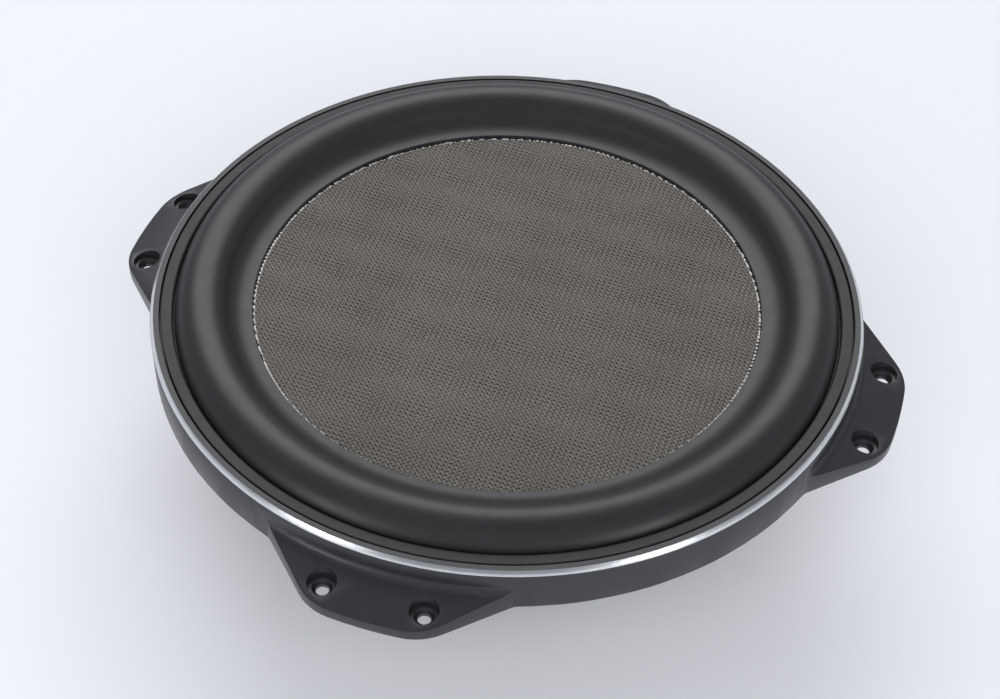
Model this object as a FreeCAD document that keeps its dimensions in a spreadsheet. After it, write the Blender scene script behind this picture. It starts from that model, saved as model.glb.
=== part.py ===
"""A shallow 12-inch car subwoofer, in millimetres.

The frame stands on the middle of the magnet boot's back face.  +Z runs along
the cone's axis towards the listener, and the four mounting ears lie on +X, +Y,
-X and -Y.  Heights add up from the back: boot, yoke, magnet, top plate,
basket, spider, cone, rim.
"""
import FreeCAD, Part
import math
import os
import Sketcher

SIZES = [
    # the visible front, from the middle outwards
    ("frame_radius", 139, "middle of the thin gap between gasket and rim"),
    ("rim_gap", 0.8, "width of that gap"),
    ("rim_land", 2.2, "flat turned top of the rim"),
    ("chamfer_width", 1.4, "bright chamfer, across"),
    ("chamfer_drop", 1.8, "bright chamfer, down"),
    ("gasket_width", 4.8, "front gasket ring, across"),
    ("gasket_drop", 0.1, "gasket's top below the rim's top"),
    ("land_depth", 3.8, "seat of the surround below the rim's top"),
    ("roll_gap", 0.3, "between the roll and the gasket"),
    ("roll_width", 22.6, "half roll, across its outside"),
    ("roll_drop", 3.8, "centre of the roll's arc below the rim's top"),
    ("roll_wall", 1.2, "rubber thickness of the roll"),
    ("foot_wall", 1.1, "rubber thickness of the two feet"),
    ("inner_foot", 7.5, "width of the foot glued to the cone"),
    ("inner_land", 8.4, "flat of the rubber between the woven skin and the roll"),
    ("land_lip", 1.3, "that flat above the top of the woven skin"),
    ("land_round", 11, "hollow rounding between that flat and the roll"),
    ("skin_gap", 0.3, "between that flat and the edge of the woven skin"),
    ("skin_drop", 4.2, "woven skin's top below the rim's top"),
    ("skin_wall", 0.8, "thickness of the woven skin"),
    # the mounting ears
    ("flange_height", 19, "rim's top above the mounting face"),
    ("ear_reach", 19, "ear beyond the rim's wall"),
    ("ear_apex", 39.6, "where the ear's two 45 degree sides would meet"),
    ("ear_corner", 22, "rounding of the ear's two corners"),
    ("ear_root", 7, "rounding where the ear's side meets the wall"),
    ("ear_edge", 4.4, "thickness of the ear at its outer edge"),
    ("ear_rise", 4.3, "rise of the ear's top from edge to wall"),
    ("ear_foot", 3.5, "hollow rounding between ear and wall"),
    ("hole_reach", 10, "screw circle beyond the rim's wall"),
    ("hole_angle", 7.33, "screw hole from the middle of its ear, degrees"),
    ("screw_hole", 2.5, "radius of the mounting hole"),
    ("spot_radius", 5.5, "radius of the sunk seat round the hole"),
    ("spot_floor", 3.2, "thickness left under the sunk seat"),
    ("sink_radius", 4, "radius of the countersink's mouth"),
    ("sink_depth", 1.4, "depth of the countersink"),
    # the motor
    ("boot_wall", 2.5, "rubber boot, side and back"),
    ("boot_hole", 20, "radius of the boot's opening over the vent"),
    ("boot_gap", 0.4, "between the boot and the magnet"),
    ("boot_lip", 3, "magnet left bare above the boot"),
    ("yoke_radius", 66, "back plate of the yoke"),
    ("yoke_plate", 8, "thickness of the back plate"),
    ("pole_radius", 31, "pole of the yoke"),
    ("pole_proud", 1.5, "pole above the top plate"),
    ("vent_radius", 12, "vent through the pole"),
    ("vent_flare", 4, "flare at each end of the vent"),
    ("screen_wall", 0.8, "thickness of the vent screen"),
    ("screen_hole", 1.1, "radius of a hole in the vent screen"),
    ("screen_rows", 4, "rings of holes in the vent screen"),
    ("magnet_radius", 70, "outside of the ferrite ring"),
    ("magnet_bore", 44, "inside of the ferrite ring"),
    ("magnet_height", 24, "thickness of the ferrite ring"),
    ("shorting_width", 5, "aluminium shorting ring, across"),
    ("shorting_height", 12, "aluminium shorting ring, tall"),
    ("shorting_gap", 2.4, "between shorting ring and magnet"),
    ("plate_radius", 66, "top plate"),
    ("plate_height", 8, "thickness of the top plate"),
    ("air_gap", 0.5, "between the winding and the top plate"),
    # the voice coil
    ("former_gap", 0.6, "between the former and the pole"),
    ("former_wall", 0.3, "thickness of the former"),
    ("winding_wall", 0.95, "thickness of one winding"),
    ("glue_gap", 0.05, "glue line between round pieces"),
    ("coil_overhang", 8, "winding beyond the top plate, each way"),
    ("former_tail", 1, "former below the winding"),
    ("wrap_wall", 0.35, "paper wrap above the winding"),
    # the basket
    ("base_height", 5, "foot of the basket on the top plate"),
    ("base_bore", 50, "opening in the basket's foot"),
    ("base_radius", 72, "outside of the basket's foot"),
    ("base_screw_circle", 58, "radius of the circle of base screws"),
    ("base_screw_count", 6, "screws from the basket into the top plate"),
    ("base_screw_radius", 2.5, "shank of a base screw"),
    ("base_screw_head", 4.6, "head of a base screw"),
    ("base_screw_length", 11, "length of a base screw"),
    ("spider_height", 15.5, "spider's seat above the top plate"),
    ("shelf_bore", 75, "inside of the spider's seat"),
    ("shelf_width", 10, "spider's seat, across"),
    ("shelf_step", 3, "height of the step round the seat"),
    ("step_width", 2.5, "width of that step"),
    ("shell_wall", 5.5, "thickness of the arms, measured upright"),
    ("neck_wall", 10, "wall of the ring that carries the ears"),
    ("arm_count", 8, "arms"),
    ("arm_width", 18, "width of an arm"),
    ("window_inset", 5, "web left at each end of a window"),
    ("window_round", 5, "rounding of a window's corners"),
    ("rib_width", 4, "rib down the back of an arm"),
    ("rib_depth", 5, "depth of that rib"),
    # the spider
    ("spider_wall", 0.6, "thickness of the spider"),
    ("spider_foot", 8, "flat outer foot of the spider"),
    ("spider_wave", 4, "width of one half wave"),
    ("spider_rise", 1.6, "height of one half wave"),
    ("spider_waves", 9, "number of half waves"),
    ("spider_collar", 4, "height of the glued collar"),
    ("clamp_height", 2, "ring that holds the spider's foot down"),
    # the cone
    ("neck_rise", 5, "neck ring above the spider's seat"),
    ("neck_height", 13, "height of the neck ring"),
    ("neck_thick", 2, "thickness of the neck ring"),
    ("cone_start", 6, "cone's foot above the neck ring's foot"),
    ("cone_depth", 22.8, "cone's foot to the underside of its lap"),
    ("cone_wall", 1.1, "thickness of the cone"),
    ("cone_flat", 7.6, "flat lap at the cone's edge"),
    # the terminals
    ("block_reach", 14, "terminal block beyond the spider's step"),
    ("block_depth", 22, "terminal block along the arm"),
    ("block_width", 44, "terminal block across the arm"),
    ("block_height", 16, "terminal block, tall"),
    ("seat_wall", 4, "casting's seat for the terminal block"),
    ("post_offset", 13, "push button from the middle of its block"),
    ("chamber_radius", 6.6, "spring chamber in the block"),
    ("guide_radius", 5.3, "guide for the button's stem"),
    ("guide_length", 6.4, "length of that guide"),
    ("button_gap", 0.45, "sliding gap round the button"),
    ("button_head", 7.2, "radius of the button's cap"),
    ("button_cap", 3, "thickness of the button's cap"),
    ("button_travel", 3, "button travel"),
    ("collar_height", 1.8, "button's retaining collar"),
    ("wire_radius", 2.2, "wire hole"),
    ("contact_wall", 0.8, "thickness of the brass contact"),
    ("contact_width", 5, "width of the brass contact"),
    ("lug_height", 11, "solder lug above the block's top"),
    ("lug_reach", 3.4, "solder lug inside the block's inner face"),
    ("spring_wire", 0.35, "radius of the spring wire"),
    ("spring_turns", 5, "turns of the spring"),
    ("post_screw", 1.7, "radius of a terminal screw"),
    ("post_screw_head", 3.2, "radius of a terminal screw's head"),
    ("post_screw_pitch", 12, "between the two terminal screws"),
    ("screw_gap", 0.1, "gap round a screw's shank"),
    ("drive_reach", 2, "reach of the cross slot in a terminal screw"),
    ("drive_half", 0.45, "half width of that slot"),
    ("drive_depth", 1.2, "depth of that slot"),
    ("screw_bite", 6, "terminal screw above the top of its block"),
    ("lead_radius", 1, "tinsel lead"),
]


# ---- the sheet, and sizes that remember their formula ----------------------

class Size:
    """A number that also knows the sheet formula that gives it."""

    def __init__(self, number, formula):
        self.number = number
        self.formula = formula

    def __add__(self, other):
        return joined(self, "+", other, self.number + plain(other))

    def __radd__(self, other):
        return joined(other, "+", self, plain(other) + self.number)

    def __sub__(self, other):
        return joined(self, "-", other, self.number - plain(other))

    def __rsub__(self, other):
        return joined(other, "-", self, plain(other) - self.number)

    def __mul__(self, other):
        return joined(self, "*", other, self.number * plain(other))

    def __rmul__(self, other):
        return joined(other, "*", self, plain(other) * self.number)

    def __truediv__(self, other):
        return joined(self, "/", other, self.number / plain(other))

    def __neg__(self):
        return joined(0, "-", self, -self.number)


def plain(value):
    """The number of a size, or the number itself."""
    return value.number if isinstance(value, Size) else float(value)


def formula(value):
    """The sheet formula of a size or a number."""
    return value.formula if isinstance(value, Size) else repr(float(value))


def joined(left, sign, right, number):
    """A new size made of two others."""
    return Size(number, f"({formula(left)} {sign} {formula(right)})")


def root(value):
    """Square root of a size."""
    return Size(math.sqrt(plain(value)), f"sqrt({formula(value)})")


def fill_sheet(document):
    """Write each driving size into the sheet, with its name as the alias."""
    cells = document.addObject("Spreadsheet::Sheet", "Sizes")
    for row, (name, number, meaning) in enumerate(SIZES, start=1):
        cells.set(f"A{row}", name)
        cells.set(f"B{row}", str(number))
        cells.set(f"C{row}", meaning)
        cells.setAlias(f"B{row}", name)
    return cells


doc = FreeCAD.newDocument("Subwoofer")
sheet = fill_sheet(doc)
doc.recompute()
S = {name: Size(float(sheet.get(name)), f"Sizes.{name}") for name, _, _ in SIZES}
NODES = []


# ---- heights, from the back face up ---------------------------------------

yoke_back = S["boot_wall"]
yoke_top = yoke_back + S["yoke_plate"]
magnet_top = yoke_top + S["magnet_height"]
plate_top = magnet_top + S["plate_height"]
pole_top = plate_top + S["pole_proud"]
base_top = plate_top + S["base_height"]
shelf_top = plate_top + S["spider_height"]
spider_top = shelf_top + S["spider_wall"]
neck_low = shelf_top + S["neck_rise"]
neck_high = neck_low + S["neck_height"]
cone_foot = neck_low + S["cone_start"]
lap_low = cone_foot + S["cone_depth"]
lap_high = lap_low + S["cone_wall"]
skin_low = lap_high + S["foot_wall"]
skin_top = skin_low + S["skin_wall"]
rim_top = skin_top + S["skin_drop"]
flange_low = rim_top - S["flange_height"]
land_top = rim_top - S["land_depth"]
outer_foot_top = land_top + S["foot_wall"]
gasket_top = rim_top - S["gasket_drop"]
roll_middle = rim_top - S["roll_drop"]
inner_land_top = skin_top + S["land_lip"]
coil_low = magnet_top - S["coil_overhang"]
coil_high = plate_top + S["coil_overhang"]
block_top = shelf_top + S["seat_wall"]
block_low = block_top - S["block_height"]

# ---- radii, from the gap at the rim ----------------------------------------

rim_inner = S["frame_radius"] + S["rim_gap"] / 2
rim_outer = rim_inner + S["rim_land"]
wall_radius = rim_outer + S["chamfer_width"]
gasket_outer = S["frame_radius"] - S["rim_gap"] / 2
gasket_inner = gasket_outer - S["gasket_width"]
roll_outer = gasket_inner - S["roll_gap"]
roll_inner = roll_outer - S["roll_width"]
roll_radius = S["roll_width"] / 2
roll_centre = roll_outer - roll_radius
lip_radius = roll_inner - S["inner_land"]
skin_radius = lip_radius - S["skin_gap"]
ring_inner = wall_radius - S["neck_wall"]
ear_outer = wall_radius + S["ear_reach"]
hole_circle = wall_radius + S["hole_reach"]
former_inner = S["pole_radius"] + S["former_gap"]
former_outer = former_inner + S["former_wall"]
winding_inner = former_outer + S["glue_gap"]
winding_middle = winding_inner + S["winding_wall"]
winding_outer = winding_middle + S["glue_gap"] + S["winding_wall"]
plate_bore = winding_outer + S["air_gap"]
neck_inner = former_outer + S["glue_gap"]
neck_outer = neck_inner + S["neck_thick"]
shelf_outer = S["shelf_bore"] + S["shelf_width"]
step_outer = shelf_outer + S["step_width"]
block_inner = step_outer + S["block_reach"]
block_outer = block_inner + S["block_depth"]


# ---- building blocks -------------------------------------------------------

def node(piece, name, turn=0):
    """Name a finished piece and turn it about the axis, in degrees."""
    piece.Label = name
    upright = FreeCAD.Vector(0, 0, 1)
    piece.Placement = FreeCAD.Placement(FreeCAD.Vector(), FreeCAD.Rotation(upright, turn))
    NODES.append(piece)
    return piece


def new_body(name):
    return doc.addObject("PartDesign::Body", name + "_body")


def origin(body, role):
    """One of a body's own origin planes or axes."""
    return next(item for item in body.Origin.OriginFeatures if item.Role == role)


def new_sketch(body, name, plane, lift=None):
    """An empty sketch on an origin plane, lifted along the plane's normal."""
    sketch = body.newObject("Sketcher::SketchObject", name)
    sketch.AttachmentSupport = (origin(body, plane), "")
    sketch.MapMode = "FlatFace"
    if lift is not None:
        sketch.setExpression(".AttachmentOffset.Base.z", formula(lift))
    return sketch


def pin_corner(sketch, element, end, corner):
    """Hold one end of a sketch element at a corner given by two sizes."""
    for kind, value in zip(("DistanceX", "DistanceY"), corner):
        pin = Sketcher.Constraint(kind, -1, 1, element, end, plain(value))
        index = sketch.addConstraint(pin)
        sketch.setExpression(f"Constraints[{index}]", formula(value))


def outline(sketch, corners):
    """A closed outline of straight sides through the given corners."""
    points = [FreeCAD.Vector(plain(x), plain(y), 0) for x, y in corners]
    first = sketch.GeometryCount
    count = len(points)
    for index in range(count):
        side = Part.LineSegment(points[index], points[(index + 1) % count])
        sketch.addGeometry(side)
    for index in range(count):
        after = first + (index + 1) % count
        sketch.addConstraint(Sketcher.Constraint("Coincident", first + index, 2, after, 1))
    for index, corner in enumerate(corners):
        pin_corner(sketch, first + index, 1, corner)


def circle(sketch, middle, radius):
    """A full circle."""
    point = FreeCAD.Vector(plain(middle[0]), plain(middle[1]), 0)
    element = sketch.addGeometry(Part.Circle(point, FreeCAD.Vector(0, 0, 1), plain(radius)))
    pin_corner(sketch, element, 3, middle)
    index = sketch.addConstraint(Sketcher.Constraint("Radius", element, plain(radius)))
    sketch.setExpression(f"Constraints[{index}]", formula(radius))


def turn_profile(body, kind, name, corners):
    """Revolve (or groove) a straight-sided half section about the axis."""
    sketch = new_sketch(body, name + "_section", "XZ_Plane")
    outline(sketch, corners)
    turned = body.newObject(kind, name)
    turned.Profile = sketch
    turned.ReferenceAxis = (sketch, ["V_Axis"])
    turned.Angle = 360
    doc.recompute()
    return turned


def turned_piece(name, corners):
    """A whole node made by turning one half section."""
    body = new_body(name)
    turn_profile(body, "PartDesign::Revolution", name + "_turned", corners)
    return node(body, name)


def tube_piece(name, inner, outer, low, high):
    """A plain tube."""
    return turned_piece(name, [(inner, low), (outer, low), (outer, high), (inner, high)])


def pad(body, sketch, name, height, both_ways=False):
    """Raise a solid from a sketch."""
    raised = body.newObject("PartDesign::Pad", name)
    raised.Profile = sketch
    raised.setExpression("Length", formula(height))
    raised.Midplane = both_ways
    doc.recompute()
    return raised


def pocket(body, sketch, name, depth, upwards=True):
    """Cut a sketch into the body, and make sure that it has cut something."""
    before = body.Shape.Volume
    cut = body.newObject("PartDesign::Pocket", name)
    cut.Profile = sketch
    cut.setExpression("Length", formula(depth))
    cut.Reversed = upwards
    doc.recompute()
    if body.Shape.Volume > before - 0.01:
        raise ValueError(f"{name} cuts nothing")
    return cut


def around(body, name, features, count):
    """Repeat features evenly about the axis."""
    pattern = body.newObject("PartDesign::PolarPattern", name)
    pattern.Originals = features
    pattern.Axis = (origin(body, "Z_Axis"), [""])
    pattern.Angle = 360
    pattern.setExpression("Occurrences", formula(count))
    body.Tip = pattern
    doc.recompute()
    return pattern


def edge_names(body, wanted):
    """Names of those edges of the body for which wanted(edge) is true."""
    return [f"Edge{index + 1}" for index, edge in enumerate(body.Shape.Edges) if wanted(edge)]


def round_edges(body, name, radius, wanted):
    """Round those edges of the body for which wanted(edge) is true."""
    names = edge_names(body, wanted)
    base = body.Tip
    rounded = body.newObject("PartDesign::Fillet", name)
    rounded.Base = (base, names)
    rounded.setExpression("Radius", formula(radius))
    doc.recompute()
    body.Tip = rounded
    return rounded


def middle_of(edge):
    """Radius from the axis and height of an edge's middle point."""
    point = edge.valueAt((edge.FirstParameter + edge.LastParameter) / 2)
    return math.hypot(point.x, point.y), point.z


def is_upright(edge):
    """True for a straight edge along the axis."""
    ends = edge.Vertexes
    if len(ends) != 2 or not isinstance(edge.Curve, Part.Line):
        return False
    return math.hypot(ends[0].X - ends[1].X, ends[0].Y - ends[1].Y) < 0.001


def is_upright_at(edge, radius):
    """True for a straight upright edge at a radius."""
    return is_upright(edge) and abs(middle_of(edge)[0] - plain(radius)) < 0.01


# ---- the basket: one casting ------------------------------------------------

def ear_top(radius):
    """Height of the ear's sloping top at a radius."""
    slope = S["ear_rise"] / S["ear_reach"]
    return flange_low + S["ear_edge"] + (ear_outer - radius) * slope


def arm_back(radius):
    """Height of the arms' back surface at a radius."""
    back_start = shelf_top - S["shelf_step"] - 1
    run = ring_inner + 1 - step_outer
    return back_start + (radius - step_outer) * (flange_low - back_start) / run


def ear_blank(body):
    """Four flat ears with rounded corners, on a ring as wide as the wall."""
    height = ear_top(wall_radius) - flange_low + S["ear_foot"]
    ring = [(ring_inner, flange_low), (wall_radius, flange_low),
            (wall_radius, flange_low + height), (ring_inner, flange_low + height)]
    turn_profile(body, "PartDesign::Revolution", "ear_ring", ring)
    apex = wall_radius + S["ear_apex"]
    middle = ring_inner + 1
    reach = apex - middle
    sketch = new_sketch(body, "ear_outline", "XY_Plane", flange_low)
    outline(sketch, [(middle, -reach), (apex, 0), (middle, reach)])
    pad(body, sketch, "ear_wedge", height)
    around(body, "ear_wedges", [body.Tip], 4)
    trim = [(ear_outer, flange_low - 1), (apex + 1, flange_low - 1),
            (apex + 1, flange_low + height + 1), (ear_outer, flange_low + height + 1)]
    turn_profile(body, "PartDesign::Groove", "ear_ends", trim)
    round_edges(body, "ear_corners", S["ear_corner"], lambda edge: is_upright_at(edge, ear_outer))
    round_edges(body, "ear_roots", S["ear_root"], lambda edge: is_upright_at(edge, wall_radius))


def ear_tops(body):
    """Slope the ears' tops, with a hollow rounding up to the wall."""
    slope = S["ear_rise"] / S["ear_reach"]
    tilt = root(slope * slope + 1)
    hollow = S["ear_foot"]
    middle_height = ear_top(wall_radius) + hollow * tilt - hollow * slope
    touch_radius = wall_radius + hollow - hollow * slope / tilt
    touch_height = middle_height - hollow / tilt
    end_radius = wall_radius + S["ear_apex"] + 1
    high = middle_height + 5
    sketch = new_sketch(body, "ear_slope", "XZ_Plane")
    corners = [(wall_radius, middle_height), (touch_radius, touch_height),
               (end_radius, ear_top(end_radius)), (end_radius, high), (wall_radius, high)]
    points = [FreeCAD.Vector(plain(x), plain(y), 0) for x, y in corners]
    bend = 1 / math.sqrt(2)
    waist = FreeCAD.Vector(points[0].x + plain(hollow) * (1 - bend), points[0].y - plain(hollow) * bend, 0)
    sketch.addGeometry(Part.Arc(points[0], waist, points[1]))
    for index in range(1, 5):
        sketch.addGeometry(Part.LineSegment(points[index], points[(index + 1) % 5]))
    arc_ends = (2, 1) if sketch.getPoint(0, 1).distanceToPoint(points[0]) > 0.01 else (1, 2)
    sketch.addConstraint(Sketcher.Constraint("Coincident", 0, arc_ends[1], 1, 1))
    for index in range(1, 4):
        sketch.addConstraint(Sketcher.Constraint("Coincident", index, 2, index + 1, 1))
    sketch.addConstraint(Sketcher.Constraint("Coincident", 4, 2, 0, arc_ends[0]))
    for index in range(1, 5):
        pin_corner(sketch, index, 1, corners[index])
    pin_corner(sketch, 0, arc_ends[0], corners[0])
    bow = sketch.addConstraint(Sketcher.Constraint("Radius", 0, plain(hollow)))
    sketch.setExpression(f"Constraints[{bow}]", formula(hollow))
    groove = body.newObject("PartDesign::Groove", "ear_slopes")
    groove.Profile = sketch
    groove.ReferenceAxis = (sketch, ["V_Axis"])
    groove.Angle = 360
    doc.recompute()


def basket_ring(body):
    """The turned part of the casting: rim, seat, arms' shell, spider seat, foot."""
    back_start = arm_back(step_outer)
    front_start = back_start + S["shell_wall"]
    lip = ring_inner - 4
    section = [
        (rim_inner, rim_top), (rim_outer, rim_top),
        (wall_radius, rim_top - S["chamfer_drop"]), (wall_radius, flange_low),
        (ring_inner + 1, flange_low), (step_outer, back_start),
        (S["base_radius"], plate_top + S["base_height"] - 1), (S["base_radius"], plate_top),
        (S["base_bore"], plate_top), (S["base_bore"], base_top),
        (S["base_radius"] - 4, base_top), (S["shelf_bore"], shelf_top),
        (shelf_outer, shelf_top), (shelf_outer, shelf_top + S["shelf_step"]),
        (step_outer, shelf_top + S["shelf_step"]), (step_outer + 1, front_start),
        (lip, arm_back(lip) + S["shell_wall"]), (ring_inner, flange_low + 7),
        (ring_inner, land_top), (rim_inner, land_top)]
    turn_profile(body, "PartDesign::Revolution", "basket_turned", section)


def basket_windows(body):
    """Openings between the arms, with rounded corners."""
    step = 360 / S["arm_count"].number
    half = math.radians(step / 2)
    inner = step_outer + S["window_inset"]
    outer = ring_inner - S["window_inset"]
    side = S["arm_width"] / 2
    cosine, sine = math.cos(2 * half), math.sin(2 * half)
    inner_run = root(inner * inner - side * side)
    outer_run = root(outer * outer - side * side)
    sketch = new_sketch(body, "window_outline", "XY_Plane", flange_low)
    far_inner = (inner_run * cosine + side * sine, inner_run * sine - side * cosine)
    far_outer = (outer_run * cosine + side * sine, outer_run * sine - side * cosine)
    crown_point = (outer * math.cos(half), outer * math.sin(half))
    outline(sketch, [(inner_run, side), (outer_run, side), crown_point, far_outer, far_inner])
    cut = body.newObject("PartDesign::Pocket", "window")
    cut.Profile = sketch
    cut.Type = "Length"
    cut.Midplane = True
    cut.setExpression("Length", formula(2 * (flange_low - base_top)))
    doc.recompute()
    around(body, "windows", [cut], S["arm_count"])
    inside = plain(inner) - 2
    outside = plain(outer) * 1.03
    round_edges(body, "window_corners", S["window_round"],
                lambda edge: is_upright(edge) and inside < middle_of(edge)[0] < outside
                and middle_of(edge)[1] < plain(flange_low) + 6)


def arm_ribs(body):
    """A rib down the back of each arm."""
    start = step_outer - 2
    end = ring_inner
    sketch = new_sketch(body, "rib_side", "XZ_Plane")
    outline(sketch, [
        (start, arm_back(step_outer) + 1), (start, arm_back(step_outer) - S["rib_depth"] + 2),
        (start + 8, arm_back(start + 8) - S["rib_depth"]), (end - 12, arm_back(end - 12) - S["rib_depth"]),
        (end, flange_low), (end, flange_low + 3), (end - 6, arm_back(end - 6) + 2)])
    rib = pad(body, sketch, "rib", S["rib_width"], both_ways=True)
    around(body, "ribs", [rib], S["arm_count"])


def ear_holes(body):
    """Eight mounting holes, each with a sunk seat and a countersink."""
    angle = math.radians(S["hole_angle"].number)
    floor = flange_low + S["spot_floor"]
    middles = [(hole_circle * math.cos(way), hole_circle * math.sin(way)) for way in (angle, -angle)]
    cuts = []
    for name, radius, low in (("spot", S["spot_radius"], floor), ("hole", S["screw_hole"], flange_low - 1)):
        sketch = new_sketch(body, name + "_circles", "XY_Plane", low)
        for middle in middles:
            circle(sketch, middle, radius)
        cuts.append(pocket(body, sketch, name + "s", 20))
    around(body, "all_holes", cuts, 4)
    mouth = plain(floor)
    spread = S["sink_radius"] - S["screw_hole"]
    edges = [f"Edge{index + 1}" for index, edge in enumerate(body.Shape.Edges)
             if isinstance(edge.Curve, Part.Circle)
             and abs(edge.Curve.Radius - plain(S["screw_hole"])) < 0.001
             and abs(middle_of(edge)[1] - mouth) < 0.001]
    base = body.Tip
    sink = body.newObject("PartDesign::Chamfer", "countersinks")
    sink.Base = (base, edges)
    sink.ChamferType = "Two distances"
    sink.setExpression("Size", formula(spread))
    sink.setExpression("Size2", formula(S["sink_depth"]))
    doc.recompute()
    body.Tip = sink


def terminal_seats(body):
    """Two flat seats under opposite arms, each on a web of the arm's width."""
    half = S["block_width"] / 2
    room_start = block_inner - S["button_gap"]
    sketch = new_sketch(body, "block_room_plan", "XY_Plane", block_top)
    room_end = ring_inner - 1
    outline(sketch, [(room_start, -half), (room_end, -half), (room_end, half), (room_start, half)])
    room = pocket(body, sketch, "block_room", block_top - base_top, upwards=False)
    end = block_outer - 1
    sketch = new_sketch(body, "web_side", "XZ_Plane")
    inside = S["shell_wall"] - 0.5
    outline(sketch, [(block_inner, block_top), (end, block_top),
                     (end, arm_back(end) + inside), (block_inner, arm_back(block_inner) + inside)])
    web = pad(body, sketch, "web", S["arm_width"], both_ways=True)
    sketch = new_sketch(body, "seat_plan", "XY_Plane", block_top)
    outline(sketch, [(block_inner, -half), (block_outer, -half), (block_outer, half), (block_inner, half)])
    seat = pad(body, sketch, "seat", S["seat_wall"])
    sketch = new_sketch(body, "seat_holes", "XY_Plane", block_top - 1)
    for x in terminal_screw_places():
        circle(sketch, (x, 0), S["post_screw"] + S["screw_gap"])
    holes = pocket(body, sketch, "seat_screw_holes", S["screw_bite"] + 1.5)
    around(body, "both_seats", [room, web, seat, holes], 2)


def base_holes(body):
    """Countersunk holes for the screws into the top plate."""
    sketch = new_sketch(body, "base_hole_circles", "XY_Plane", plate_top - 1)
    circle(sketch, (S["base_screw_circle"], 0), S["base_screw_radius"] + S["screw_gap"])
    hole = pocket(body, sketch, "base_hole", S["base_height"] + 2)
    around(body, "base_holes", [hole], S["base_screw_count"])
    edges = [f"Edge{index + 1}" for index, edge in enumerate(body.Shape.Edges)
             if isinstance(edge.Curve, Part.Circle)
             and abs(edge.Curve.Radius - plain(S["base_screw_radius"] + S["screw_gap"])) < 0.001
             and abs(middle_of(edge)[1] - plain(base_top)) < 0.001]
    base = body.Tip
    sink = body.newObject("PartDesign::Chamfer", "base_sinks")
    sink.Base = (base, edges)
    sink.setExpression("Size", formula(S["base_screw_head"] - S["base_screw_radius"] + S["screw_gap"]))
    doc.recompute()
    body.Tip = sink


def basket():
    """Cast aluminium frame with rim, ears, arms, spider seat and foot."""
    body = new_body("basket")
    ear_blank(body)
    ear_tops(body)
    basket_ring(body)
    basket_windows(body)
    arm_ribs(body)
    ear_holes(body)
    terminal_seats(body)
    base_holes(body)
    node(body, "basket")


# ---- the motor --------------------------------------------------------------

def yoke():
    """Back plate and pole forged in one, with a flared vent."""
    radius, vent, flare = S["pole_radius"], S["vent_radius"], S["vent_flare"]
    turned_piece("yoke", [
        (vent + flare, yoke_back), (S["yoke_radius"], yoke_back),
        (S["yoke_radius"], yoke_top), (radius, yoke_top), (radius, pole_top),
        (vent + flare, pole_top), (vent, pole_top - flare), (vent, yoke_back + flare + 2),
        (vent + flare, yoke_back + 2)])


def magnet_boot():
    """Rubber boot round the magnet and under the yoke, open at the vent."""
    inner = S["magnet_radius"] + S["boot_gap"]
    outer = inner + S["boot_wall"]
    top = magnet_top - S["boot_lip"]
    turned_piece("magnet_boot", [
        (S["boot_hole"], 0), (outer - 3, 0), (outer, 3), (outer, top - 1.5), (outer - 1.5, top),
        (inner, top), (inner, yoke_back), (S["boot_hole"], yoke_back)])


def vent_screen():
    """Pressed disc with rows of holes, in the recess at the back of the vent."""
    body = new_body("vent_screen")
    outer = S["vent_radius"] + S["vent_flare"] - S["screw_gap"]
    sketch = new_sketch(body, "screen_outline", "XY_Plane", yoke_back)
    circle(sketch, (0, 0), outer)
    pad(body, sketch, "screen_disc", S["screen_wall"])
    sketch = new_sketch(body, "screen_middle", "XY_Plane", yoke_back)
    circle(sketch, (0, 0), S["screen_hole"])
    pocket(body, sketch, "screen_middle_hole", S["screen_wall"] + 1)
    rows = int(plain(S["screen_rows"]))
    for row in range(1, rows + 1):
        sketch = new_sketch(body, f"screen_row_{row}", "XY_Plane", yoke_back)
        circle(sketch, (outer * row / (rows + 1.2), 0), S["screen_hole"])
        hole = pocket(body, sketch, f"screen_hole_{row}", S["screen_wall"] + 1)
        around(body, f"screen_holes_{row}", [hole], 6 * row)
    node(body, "vent_screen")


def top_plate():
    """Steel washer that carries the field across the gap, tapped for the basket."""
    body = new_body("top_plate")
    turn_profile(body, "PartDesign::Revolution", "plate_turned", [
        (plate_bore, magnet_top), (S["plate_radius"], magnet_top),
        (S["plate_radius"], plate_top), (plate_bore, plate_top)])
    sketch = new_sketch(body, "plate_hole", "XY_Plane", plate_top - S["plate_height"] + 1)
    circle(sketch, (S["base_screw_circle"], 0), S["base_screw_radius"] + S["screw_gap"])
    hole = pocket(body, sketch, "tapped_hole", S["plate_height"])
    around(body, "tapped_holes", [hole], S["base_screw_count"])
    node(body, "top_plate")


def base_screws():
    """Countersunk screws that hold the basket on the top plate."""
    body = new_body("base_screws")
    shank, head = S["base_screw_radius"], S["base_screw_head"]
    bottom = base_top - S["base_screw_length"]
    sink = base_top - (head - shank)
    along = S["base_screw_circle"]
    sketch = new_sketch(body, "screw_section", "XZ_Plane")
    outline(sketch, [(along, bottom), (along + shank, bottom), (along + shank, sink),
                     (along + head, base_top - 0.1), (along + head, base_top),
                     (along + 1.6, base_top), (along + 1.6, base_top - 2), (along, base_top - 2)])
    sketch.addGeometry(Part.LineSegment(FreeCAD.Vector(plain(along), 0, 0),
                                        FreeCAD.Vector(plain(along), 10, 0)), True)
    axis = sketch.GeometryCount - 1
    pin_corner(sketch, axis, 1, (along, 0))
    pin_corner(sketch, axis, 2, (along, 10))
    screw = body.newObject("PartDesign::Revolution", "screw")
    screw.Profile = sketch
    screw.ReferenceAxis = (sketch, ["Axis0"])
    screw.Angle = 360
    doc.recompute()
    around(body, "screws", [screw], S["base_screw_count"])
    node(body, "base_screws")


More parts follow.
